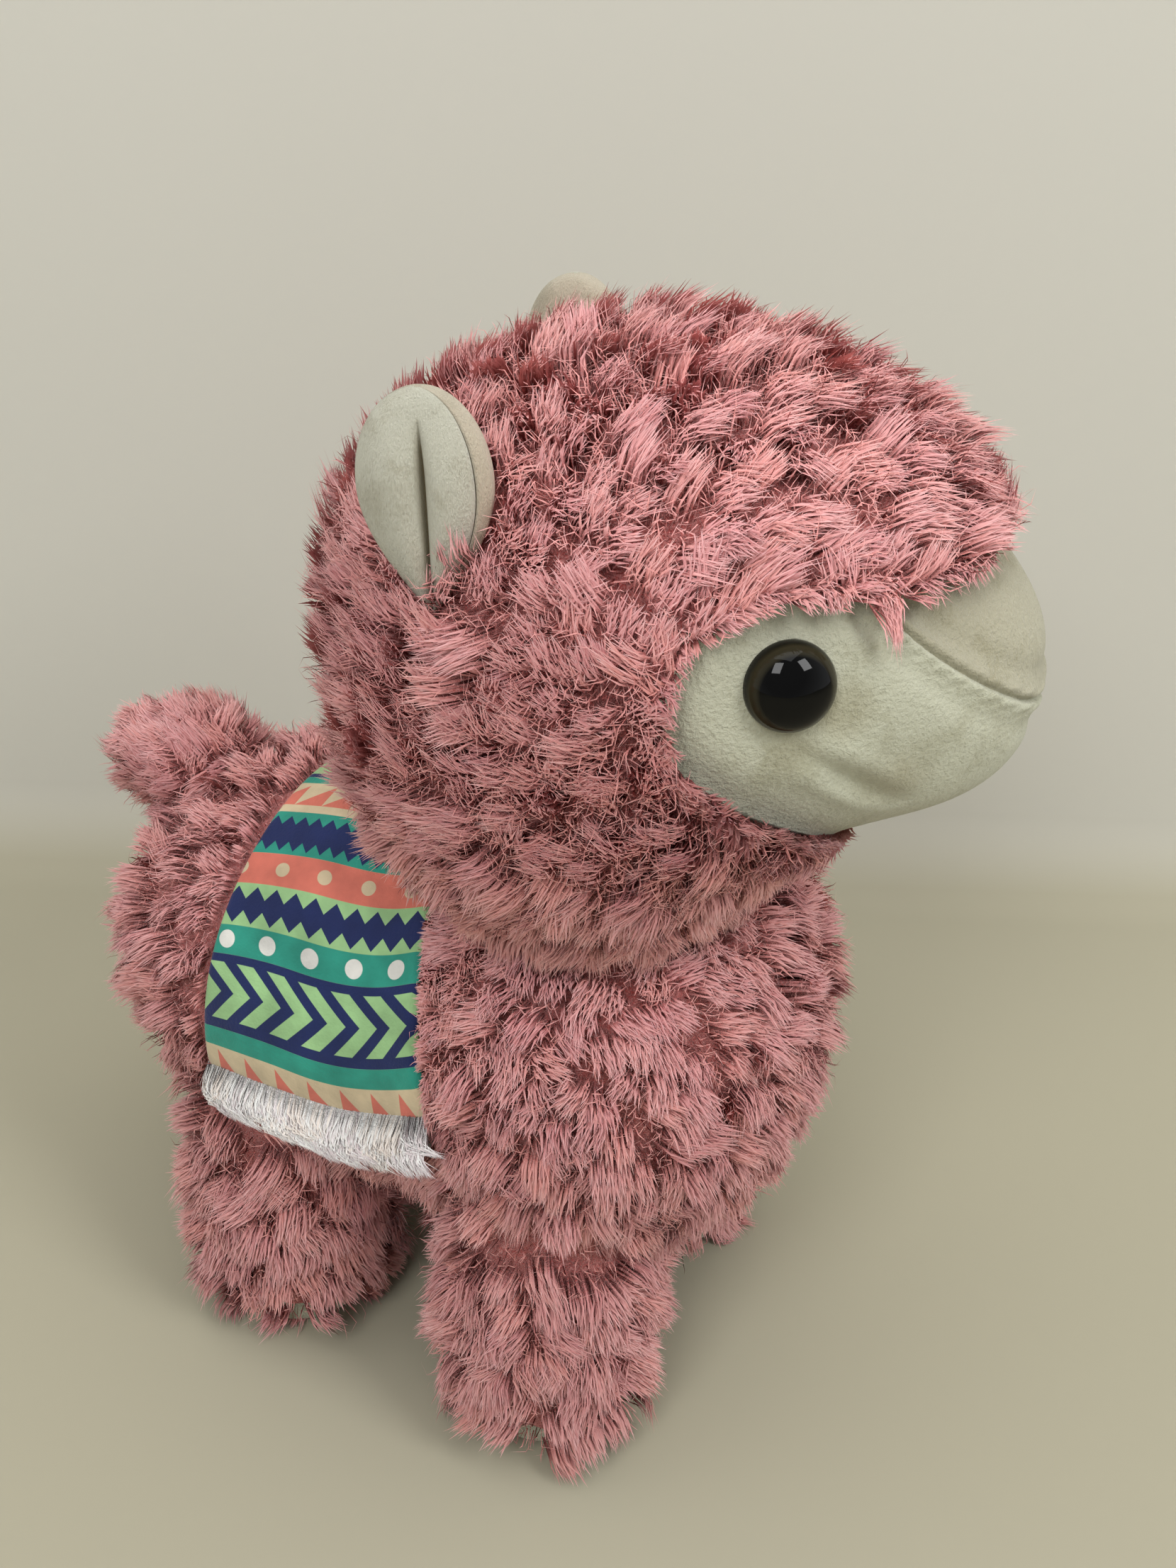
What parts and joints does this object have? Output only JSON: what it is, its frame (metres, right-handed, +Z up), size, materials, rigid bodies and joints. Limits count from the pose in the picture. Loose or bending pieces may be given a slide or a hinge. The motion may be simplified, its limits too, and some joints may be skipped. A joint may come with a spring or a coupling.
{
  "type": "plush llama",
  "caption": "Stuffed toy llama standing on short legs, with tufted pink fur, a cream face, safety eyes, lobed ears and a printed saddle blanket.",
  "frame": {"origin": "centre of the bounding box's bottom face, on the plane the soles stand on", "axes": "+Z up, the llama faces -Y, +X is its left side"},
  "size_m": [0.1384, 0.241, 0.2821],
  "materials": {
    "pink_fur": "long tufted pile",
    "cream_minky": "short pile",
    "beige_minky": "short pile",
    "filling": "loose fibre",
    "eye_plastic": "gloss",
    "washer_plastic": "matte",
    "printed_cloth": "printed plain weave",
    "white_fur": "short faux fur"
  },
  "bodies": {
    "root": {"blanket_trim_left": "white_fur", "blanket_trim_right": "white_fur", "body_filling": "filling", "body_fur_left": "pink_fur", "body_fur_right": "pink_fur", "cheek_left": "cream_minky", "cheek_right": "cream_minky", "ear_back_left": "beige_minky", "ear_back_right": "beige_minky", "ear_front_left": "cream_minky", "ear_front_right": "cream_minky", "eye_left": "eye_plastic", "eye_right": "eye_plastic", "eye_washer_left": "washer_plastic", "eye_washer_right": "washer_plastic", "foot_front_left": "cream_minky", "foot_front_right": "cream_minky", "foot_rear_left": "cream_minky", "foot_rear_right": "cream_minky", "head_filling": "filling", "head_fur_left": "pink_fur", "head_fur_right": "pink_fur", "leg_filling_front_left": "filling", "leg_filling_front_right": "filling", "leg_filling_rear_left": "filling", "leg_filling_rear_right": "filling", "leg_fur_front_left": "pink_fur", "leg_fur_front_right": "pink_fur", "leg_fur_rear_left": "pink_fur", "leg_fur_rear_right": "pink_fur", "nose_bridge": "beige_minky", "saddle_blanket": "printed_cloth", "tail": "pink_fur"}
  },
  "joints": []
}
